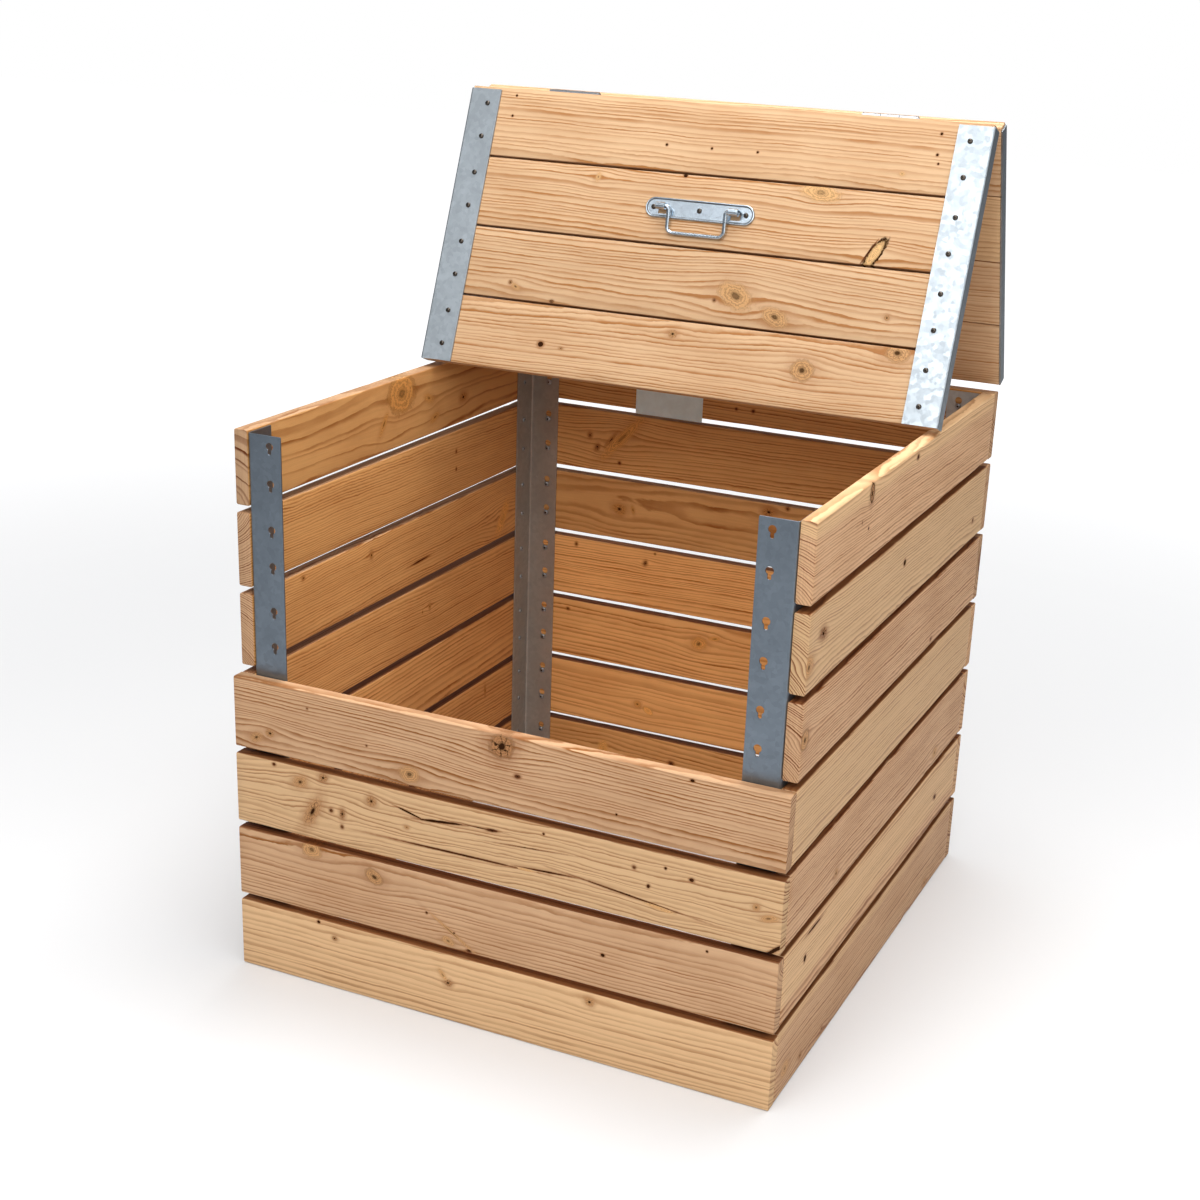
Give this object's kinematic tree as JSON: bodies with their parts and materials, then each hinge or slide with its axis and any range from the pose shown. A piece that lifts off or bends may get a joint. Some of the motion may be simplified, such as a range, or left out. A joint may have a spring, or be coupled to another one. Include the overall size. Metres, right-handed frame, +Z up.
{
  "type": "compost bin with lid",
  "caption": "Wooden garden compost bin with slatted board walls on galvanised corner posts and a folding two-part lid with a bail handle.",
  "frame": {"origin": "on the ground, under the middle of the whole object's box with the lid standing as a tent", "axes": "+X to the right along the front, +Y from the front to the rear wall, +Z up"},
  "size_m": [0.7896, 0.8426, 1.1527],
  "materials": {
    "wall_wood": "planed softwood, untreated",
    "inner_wall_wood": "planed softwood, untreated",
    "lid_wood": "planed softwood, untreated",
    "galvanised_sheet": "hot-dip galvanised with a faint spangle",
    "handle_steel": "bright zinc plated",
    "hinge_steel": "bright zinc plated"
  },
  "bodies": {
    "bin": {"corner_post_front_left": "galvanised_sheet", "corner_post_front_right": "galvanised_sheet", "corner_post_rear_left": "galvanised_sheet", "corner_post_rear_right": "galvanised_sheet", "side_board_left_1": "wall_wood", "side_board_left_2": "wall_wood", "side_board_left_3": "wall_wood", "side_board_left_4": "wall_wood", "side_board_left_5": "wall_wood", "side_board_left_6": "wall_wood", "side_board_left_7": "wall_wood", "side_board_right_1": "wall_wood", "side_board_right_2": "wall_wood", "side_board_right_3": "wall_wood", "side_board_right_4": "wall_wood", "side_board_right_5": "wall_wood", "side_board_right_6": "wall_wood", "side_board_right_7": "wall_wood", "rear_board_1": "inner_wall_wood", "rear_board_2": "inner_wall_wood", "rear_board_3": "inner_wall_wood", "rear_board_4": "inner_wall_wood", "rear_board_5": "inner_wall_wood", "rear_board_6": "inner_wall_wood", "rear_board_7": "inner_wall_wood", "rear_hinge_left_wall_leaf": "hinge_steel", "rear_hinge_left_pin": "hinge_steel", "rear_hinge_right_wall_leaf": "hinge_steel", "rear_hinge_right_pin": "hinge_steel"},
    "front_board_1": {"front_board_1": "wall_wood"},
    "front_board_2": {"front_board_2": "wall_wood"},
    "front_board_3": {"front_board_3": "wall_wood"},
    "front_board_4": {"front_board_4": "wall_wood"},
    "lid_rear": {"lid_rear_board_1": "lid_wood", "lid_rear_board_2": "lid_wood", "lid_rear_board_3": "lid_wood", "lid_rear_board_4": "lid_wood", "lid_rear_strip_left": "galvanised_sheet", "lid_rear_strip_right": "galvanised_sheet", "rear_hinge_left_lid_leaf": "hinge_steel", "rear_hinge_right_lid_leaf": "hinge_steel", "middle_hinge_left_rear_leaf": "hinge_steel", "middle_hinge_left_pin": "hinge_steel", "middle_hinge_right_rear_leaf": "hinge_steel", "middle_hinge_right_pin": "hinge_steel"},
    "lid_front": {"lid_front_board_1": "lid_wood", "lid_front_board_2": "lid_wood", "lid_front_board_3": "lid_wood", "lid_front_board_4": "lid_wood", "lid_front_strip_left": "galvanised_sheet", "lid_front_strip_right": "galvanised_sheet", "middle_hinge_left_front_leaf": "hinge_steel", "middle_hinge_right_front_leaf": "hinge_steel", "handle_plate": "handle_steel"},
    "handle_bail": {"handle_bail": "handle_steel"}
  },
  "joints": [
    {"name": "front_board_1_lift", "type": "slide", "parent": "bin", "child": "front_board_1", "axis": [0, 0, 1], "range_m": [0, 0.0085]},
    {"name": "front_board_2_lift", "type": "slide", "parent": "bin", "child": "front_board_2", "axis": [0, 0, 1], "range_m": [0, 0.0085]},
    {"name": "front_board_3_lift", "type": "slide", "parent": "bin", "child": "front_board_3", "axis": [0, 0, 1], "range_m": [0, 0.0085]},
    {"name": "front_board_4_lift", "type": "slide", "parent": "bin", "child": "front_board_4", "axis": [0, 0, 1], "range_m": [0, 0.0085]},
    {"name": "lid_rear_hinge", "type": "hinge", "parent": "bin", "child": "lid_rear", "pos_m": [0, 0.40862, 0.768], "axis": [1, 0, 0], "range_deg": [-17.5, 68.5]},
    {"name": "lid_middle_hinge", "type": "hinge", "parent": "lid_rear", "child": "lid_front", "pos_m": [0, 0.24514, 1.14674], "axis": [1, 0, 0], "range_deg": [-137, 35]},
    {"name": "handle_bail_hinge", "type": "hinge", "parent": "lid_front", "child": "handle_bail", "pos_m": [0, 0.1516, 1.01377], "axis": [1, 0, 0], "range_deg": [-104, 0]}
  ],
  "couplings": [
    {"joint": "lid_middle_hinge", "follows": "lid_rear_hinge", "ratio": -2}
  ]
}
